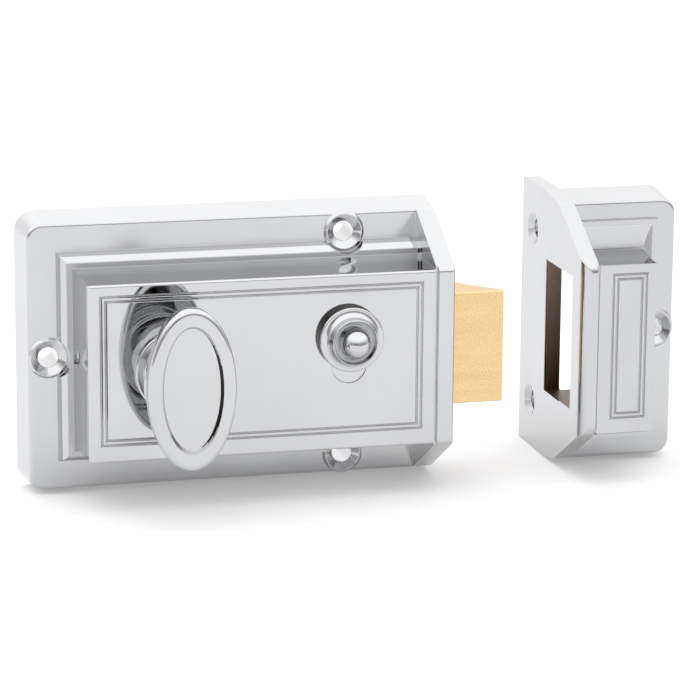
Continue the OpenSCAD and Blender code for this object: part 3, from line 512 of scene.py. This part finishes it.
pocket = inside_box(keeper_chrome, POCKET_LOW, POCKET_HIGH)
pocket_z = split(keeper_chrome, "ShaderNodeTexCoord", "Object")["Z"]
downward = run_along(keeper_chrome.node_tree, pocket_z, POCKET_HIGH[2], POCKET_LOW[2], 0, 1)
# Painted shade: the pocket is painted darker towards its bottom.
pocket_shade = inside_box(keeper_chrome, POCKET_LOW, POCKET_HIGH, downward)
change_inside(keeper_chrome, keeper_colour, pocket, RAW_COLOUR)
change_inside(keeper_chrome, keeper_colour, pocket_shade, POCKET_SHADE_COLOUR)
change_inside(keeper_chrome, keeper_rough, pocket, RAW_ROUGH)
print("pocket mm", [round((high - low) / MM, 1) for low, high in zip(POCKET_LOW, POCKET_HIGH)])

# %% [markdown]
# Satin brass for the bolt.
# The bolt is cut from drawn bar, so its surface has fine lines along its length and a sandy
# speckle. Stretched noise gives the lines, and a very fine plain noise gives the speckle. Seen
# along its surface, dull brass stays darker than a mirror would, so the tint of its glancing
# light is held back.

# %% Satin brass
BRASS_DARK = (0.77, 0.54, 0.265, 1)
BRASS_LIGHT = (0.86, 0.645, 0.365, 1)
BRASS_GLANCE = (0.72, 0.7, 0.8, 1)
BRASS_ROUGH = (0.34, 0.5)
DRAWN_LINES = {"scale": 900, "detail": 3, "stretch": (0.06, 1, 1)}
DRAWN_DEPTH = 0.006 * MM
SPECKLE_SCALE = 2600
SPECKLE_DEPTH = 0.004 * MM

satin_brass, satin_shader = new_finish("satin_brass")
satin_links = satin_brass.node_tree.links
satin_shader.inputs["Specular Tint"].default_value = BRASS_GLANCE
speckle = noise(satin_brass, SPECKLE_SCALE)
drawn = noise(satin_brass, **DRAWN_LINES)
lined = relief(satin_brass, drawn, DRAWN_DEPTH)
brass_colour = blend_colour(satin_brass, speckle, BRASS_DARK, BRASS_LIGHT)
satin_links.new(brass_colour, satin_shader.inputs["Base Color"])
satin_links.new(spread(satin_brass, drawn, *BRASS_ROUGH), satin_shader.inputs["Roughness"])
satin_links.new(relief(satin_brass, speckle, SPECKLE_DEPTH, lined), satin_shader.inputs["Normal"])
print("made", satin_brass.name)

# %% [markdown]
# Plain brass, zinc-plated steel and spring steel for the pieces inside.
# They show only from the back and when the bolt moves, but a bench mechanic would know them at
# a glance: turned brass is warm and lined round, zinc is pale and faintly clouded, and spring
# steel is dark. One helper makes all three, with other colours, grain and gloss, and a fourth:
# a painted black, for painted shade and dark reflections in the knob's dish and on the snib's collar.

# %% Inner metals
CLOUD_DETAIL = 4
GRAIN_SCALE = 1400
GRAIN_DETAIL = 3


def inner_metal(name, dark, light, rough, cloud_scale, grain_depth, stretch=EVEN):
    """A metal with clouded colour, uneven gloss and fine grain."""
    finish, shader = new_finish(name)
    links = finish.node_tree.links
    clouds = noise(finish, cloud_scale, CLOUD_DETAIL)
    grain = noise(finish, GRAIN_SCALE, GRAIN_DETAIL, stretch)
    links.new(blend_colour(finish, clouds, dark, light), shader.inputs["Base Color"])
    links.new(spread(finish, grain, *rough), shader.inputs["Roughness"])
    links.new(relief(finish, grain, grain_depth), shader.inputs["Normal"])
    return finish


plain_brass = inner_metal(
    "plain_brass", dark=(0.58, 0.40, 0.15, 1), light=(0.74, 0.54, 0.24, 1), rough=(0.22, 0.36),
    cloud_scale=300, grain_depth=0.004 * MM, stretch=(1, 0.2, 1))
plated_steel = inner_metal(
    "plated_steel", dark=(0.545, 0.56, 0.57, 1), light=(0.62, 0.63, 0.625, 1), rough=(0.28, 0.42),
    cloud_scale=160, grain_depth=0.005 * MM, stretch=(0.15, 1, 1))
spring_steel = inner_metal(
    "spring_steel", dark=(0.20, 0.21, 0.23, 1), light=(0.32, 0.33, 0.35, 1), rough=(0.24, 0.38),
    cloud_scale=400, grain_depth=0.003 * MM)
# Painted shade and reflection: a near black laid on the knob's dish crescent and the snib's collar edge.
painted_shade_and_reflection = inner_metal(
    "painted_shade_and_reflection", dark=(0.02, 0.02, 0.02, 1), light=(0.035, 0.033, 0.03, 1), rough=(0.3, 0.45),
    cloud_scale=300, grain_depth=0.003 * MM)
print("made", plain_brass.name, plated_steel.name, spring_steel.name, painted_shade_and_reflection.name)

# %% [markdown]
# Each piece takes the finish that the part's record names for it.
# The record lists a material slot for every node, so the finishes are laid on by that list and
# no piece can be forgotten. The two housings take their own kinds of the slot's chrome.

# %% Lay on the finishes
OWN_FINISH = {"case": case_chrome, "keeper": keeper_chrome}
FINISHES = {"chrome": chrome, "satin_brass": satin_brass, "plain_brass": plain_brass,
            "plated_steel": plated_steel, "spring_steel": spring_steel}
slot_of = {row["node"]: row["material_slot"] for row in frame["record"]["subparts"]}
for name, node in nodes.items():
    node.data.materials.clear()
    node.data.materials.append(OWN_FINISH.get(name, FINISHES[slot_of[name]]))
print({slot: list(slot_of.values()).count(slot) for slot in FINISHES})

# %% [markdown]
# The turn knob, remade with a smooth skin.
# The imported knob has an oval head of flat facets, which polished chrome would show at once. The
# same shape is drawn again as one loft: rings of points from the bore in the foot, over the
# bead, waist and flare of the neck, out to the oval head and down into its dished middle.
# A circle and an oval have the same count of points, so each ring joins the next with quads.
# One side of the dish's slope is painted black in a crescent, a painted dark reflection.

# %% Measures of the knob
knob_low, knob_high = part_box("turn_knob")
nose_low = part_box("spindle")[0]
HEAD_T = 4.0 * MM
HEAD_EDGE_R = 1.0 * MM
HEAD_RIM = 2.8 * MM
DISH_DEPTH = 1.1 * MM
DISH_SLOPE = 0.5 * MM
END_DRAW = 1.25
FOOT_R = 6.2 * MM
FOOT_H = 1.2 * MM
BEAD_R = 6.8 * MM
WAIST_R = 5.0 * MM
HOLLOW_R = 4.2 * MM
HOLLOW_FROM = 35
FLARE_R = 7.6 * MM
NOSE_SLICE = 0.1 * MM
half_w = knob_high.x
half_h = knob_high.z
foot_y = knob_high.y
back_y = knob_low.y + HEAD_T
waist_y = (foot_y + back_y) / 2
hollow_to = -math.degrees(math.asin(min(1.0, (foot_y - FOOT_H - waist_y) / HOLLOW_R)))
nose_r = max(math.hypot(v.co.x, v.co.z) for v in nodes["spindle"].data.vertices
             if v.co.y < nose_low.y + NOSE_SLICE)
print("knob oval mm", round(2 * half_w / MM, 1), "x", round(2 * half_h / MM, 1),
      "bore mm", round(2 * nose_r / MM, 2))

# %% Rings of the knob
ARC_STEPS = 8
DISH_STEPS = 4


def round_ring(radius, y):
    """Half sizes and level of a round ring."""
    return (radius, radius, y)


def oval_ring(inset, rise):
    """Half sizes and level of a ring of the head, moved in from its edge and up from its back."""
    return (half_w - inset, half_h - END_DRAW * inset, back_y - rise)


def arc(first, last):
    """Angles from first to last degrees, in even steps."""
    return [math.radians(first + (last - first) * i / ARC_STEPS) for i in range(ARC_STEPS + 1)]


knob_rings = [round_ring(nose_r, nose_low.y), round_ring(nose_r, foot_y), round_ring(FOOT_R, foot_y),
              round_ring(FOOT_R, foot_y - FOOT_H), round_ring(BEAD_R, foot_y - FOOT_H)]
knob_rings += [round_ring(WAIST_R + HOLLOW_R * (1 - math.cos(a)), waist_y + HOLLOW_R * math.sin(a))
               for a in arc(HOLLOW_FROM, hollow_to)]
knob_rings += [round_ring(FLARE_R, back_y)]
knob_rings += [oval_ring(HEAD_EDGE_R * (1 - math.cos(a)), HEAD_EDGE_R * (1 + math.sin(a)))
               for a in arc(-90, 0)]
knob_rings += [oval_ring(HEAD_EDGE_R * (1 - math.cos(a)), HEAD_T - HEAD_EDGE_R * (1 - math.sin(a)))
               for a in arc(0, 90)]
dish_first = len(knob_rings)
knob_rings += [oval_ring(HEAD_RIM + DISH_SLOPE * i / DISH_STEPS, HEAD_T - DISH_DEPTH * i / DISH_STEPS)
               for i in range(DISH_STEPS + 1)]
print("knob rings", len(knob_rings))

# %% Skin of the knob
KNOB_SIDES = 128


def loft(name, rings, sides, middle=(0, 0)):
    """A closed skin over oval rings along Y, each given as half sizes and a level."""
    angles = [2 * math.pi * s / sides for s in range(sides)]
    points = [(middle[0] + wide * math.cos(a), y, middle[1] + tall * math.sin(a))
              for wide, tall, y in rings for a in angles]
    last = len(points) - sides
    faces = [(first + s, first + (s + 1) % sides, first + sides + (s + 1) % sides, first + sides + s)
             for first in range(0, last, sides) for s in range(sides)]
    faces += [tuple(range(sides))[::-1], tuple(range(last, last + sides))]
    return add_mesh(name, points, faces)


knob = loft("knob_skin", knob_rings, KNOB_SIDES)
print("knob faces", len(knob.data.polygons))

# %% Finish of the knob
KNOB_SHARP = 30
CRESCENT_MIDDLE = -8
CRESCENT_REACH = (30, 64)


def smooth_by_angle(piece, degrees):
    """Shades a mesh smooth, and keeps the edges that turn by more than the angle sharp."""
    piece.data.shade_smooth()
    piece.data.set_sharp_from_angle(angle=math.radians(degrees))


def blacken_band(piece, ring, sides, first=0, last=360):
    """Gives a loft's band after one ring its second finish, between two angles in degrees from +X."""
    for s in range(sides):
        angle = 360 * s / sides
        if first <= angle < last or first <= angle - 360 < last:
            piece.data.polygons[ring * sides + s].material_index = 1


smooth_by_angle(knob, KNOB_SHARP)
knob.data.materials.append(chrome)
knob.data.materials.append(painted_shade_and_reflection)
# Painted dark reflection: a crescent of the dish's slope is painted black.
for i in range(DISH_STEPS):
    reach = CRESCENT_REACH[0] + (CRESCENT_REACH[1] - CRESCENT_REACH[0]) * i / (DISH_STEPS - 1)
    blacken_band(knob, dish_first + i, KNOB_SIDES, CRESCENT_MIDDLE - reach, CRESCENT_MIDDLE + reach)
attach(knob, "knob")
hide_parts("turn_knob")
print("black faces in the dish", sum(face.material_index for face in knob.data.polygons))

# %% [markdown]
# The snib, turned again with its bell and cup.
# The hold-back button is a small lathe piece: a flat collar, a barrel that
# flares out of it, and a bright dome that stands in a cup. The collar's edge is painted black, painted
# shade that also shows as a dark reflection in the face. The cup is what draws it, because its walls
# mirror each other and go dark round the dome. It is one loft of round rings again, from the riveted end
# of the stem to the tip of the dome, in the room that the imported button takes up.

# %% Measures of the snib
snib_low, snib_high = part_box("snib_button")
slide_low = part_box("snib_slide")[0]
STEM_R = 1.7 * MM
STEM_END_R = 1.2 * MM
COLLAR_T = 2.4 * MM
COLLAR_EDGE_R = 0.4 * MM
COLLAR_GAP = 0.05 * MM
FLARE_IN = 1.5 * MM
RIM_R = 4.9 * MM
RIM_EDGE = 0.25 * MM
CUP_DEPTH = 2.2 * MM
DOME_R = 3.0 * MM
DOME_OUT = 3.7 * MM
DOME_END = 89
snib_middle = ((snib_low.x + snib_high.x) / 2, (snib_low.z + snib_high.z) / 2)
collar_r = (snib_high.x - snib_low.x) / 2
collar_y = case_low.y - COLLAR_GAP
barrel_y = collar_y - COLLAR_T
dome_y = snib_low.y
rim_y = dome_y + DOME_OUT
cup_middle = (RIM_R - RIM_EDGE + DOME_R) / 2
cup_half = (RIM_R - RIM_EDGE - DOME_R) / 2
print("snib collar mm", round(2 * collar_r / MM, 1), "rim mm", round(2 * RIM_R / MM, 1))

# %% Rings of the snib
snib_rings = [round_ring(STEM_END_R, snib_high.y), round_ring(STEM_END_R, slide_low.y),
              round_ring(STEM_R, slide_low.y), round_ring(STEM_R, collar_y)]
collar_side = len(snib_rings)
snib_rings += [round_ring(collar_r, collar_y)]
snib_rings += [round_ring(collar_r - COLLAR_EDGE_R * (1 - math.cos(a)),
                          barrel_y + COLLAR_EDGE_R * (1 - math.sin(a))) for a in arc(0, 90)]
snib_rings += [round_ring(RIM_R + FLARE_IN * (1 - math.sin(a)), barrel_y - FLARE_IN * (1 - math.cos(a)))
               for a in arc(0, 90)]
snib_rings += [round_ring(RIM_R - RIM_EDGE * (1 - math.cos(a)), rim_y + RIM_EDGE * (1 - math.sin(a)))
               for a in arc(0, 90)]
snib_rings += [round_ring(cup_middle + cup_half * math.cos(a), rim_y + CUP_DEPTH * math.sin(a))
               for a in arc(0, 180)[1:]]
snib_rings += [round_ring(DOME_R * math.cos(a), dome_y + DOME_R * (1 - math.sin(a)))
               for a in arc(0, DOME_END)]
print("snib rings", len(snib_rings))

# %% Skin of the snib
SNIB_SIDES = 96
SNIB_SHARP = 40

snib = loft("snib_skin", snib_rings, SNIB_SIDES, snib_middle)
smooth_by_angle(snib, SNIB_SHARP)
snib.data.materials.append(chrome)
snib.data.materials.append(painted_shade_and_reflection)
# Painted shade: the collar's side is painted black, and it also shows as a dark reflection in the face.
blacken_band(snib, collar_side, SNIB_SIDES)
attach(snib, "snib")
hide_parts("snib_button")
print("snib faces", len(snib.data.polygons))

# %% [markdown]
# The bolt spring, wound again with round wire.
# The imported coil has six-sided wire. A tube swept round the same helix, with more rings and
# sides, gives round wire with the same end turns. A curve with a round bevel would do it too,
# but rings joined with quads follow the same steps as the knob and the snib. It rides on the
# case.

# %% Measures of the coil
coil_low, coil_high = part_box("bolt_spring")
WIRE_R = 0.35 * MM
COIL_TURNS = 14
END_GAP = 0.5 * MM
END_LEAD = 2 * WIRE_R + END_GAP
coil_y = (coil_low.y + coil_high.y) / 2
coil_z = (coil_low.z + coil_high.z) / 2
coil_r = (coil_high.y - coil_low.y) / 2 - WIRE_R
coil_first = coil_low.x + WIRE_R
coil_length = coil_high.x - coil_low.x - 2 * WIRE_R
coil_pitch = (coil_length - 2 * END_LEAD) / (COIL_TURNS - 2)


def coil_point(turns):
    """Point on the wire's middle line after that many turns, with the end turns wound closer."""
    ends = min(turns, 1) + max(turns - (COIL_TURNS - 1), 0)
    live = min(max(turns - 1, 0), COIL_TURNS - 2)
    angle = 2 * math.pi * turns
    return Vector((coil_first + END_LEAD * ends + coil_pitch * live,
                   coil_y + coil_r * math.cos(angle), coil_z + coil_r * math.sin(angle)))


print("coil pitch mm", round(coil_pitch / MM, 2), "end turns mm", round(END_LEAD / MM, 2))

# %% Wire of the coil
RINGS_PER_TURN = 28
WIRE_SIDES = 12
COIL_SHARP = 40
ALONG = Vector((1, 0, 0))

wire_points = []
for i in range(COIL_TURNS * RINGS_PER_TURN + 1):
    middle = coil_point(i / RINGS_PER_TURN)
    outward = (middle - Vector((middle.x, coil_y, coil_z))).normalized()
    for s in range(WIRE_SIDES):
        a = 2 * math.pi * s / WIRE_SIDES
        wire_points.append(middle + WIRE_R * (math.cos(a) * outward + math.sin(a) * ALONG))
wire_end = len(wire_points) - WIRE_SIDES
wire_faces = []
for first in range(0, wire_end, WIRE_SIDES):
    following = first + WIRE_SIDES
    for s in range(WIRE_SIDES):
        beside = (s + 1) % WIRE_SIDES
        wire_faces.append((first + s, following + s, following + beside, first + beside))
wire_faces += [tuple(range(WIRE_SIDES)), tuple(range(wire_end, wire_end + WIRE_SIDES))[::-1]]
coil = add_mesh("spring_coil", wire_points, wire_faces)
smooth_by_angle(coil, COIL_SHARP)
coil.data.materials.append(spring_steel)
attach(coil, "case")
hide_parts("bolt_spring")
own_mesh(coil)
print("coil faces", len(coil.data.polygons))

# %% [markdown]
# The picture's tones are shown as they are, so that a white floor comes out white.
# A filmic view would hold the highlights back and turn the white ground grey.

# %% Tones
bpy.context.scene.view_settings.view_transform = "Standard"
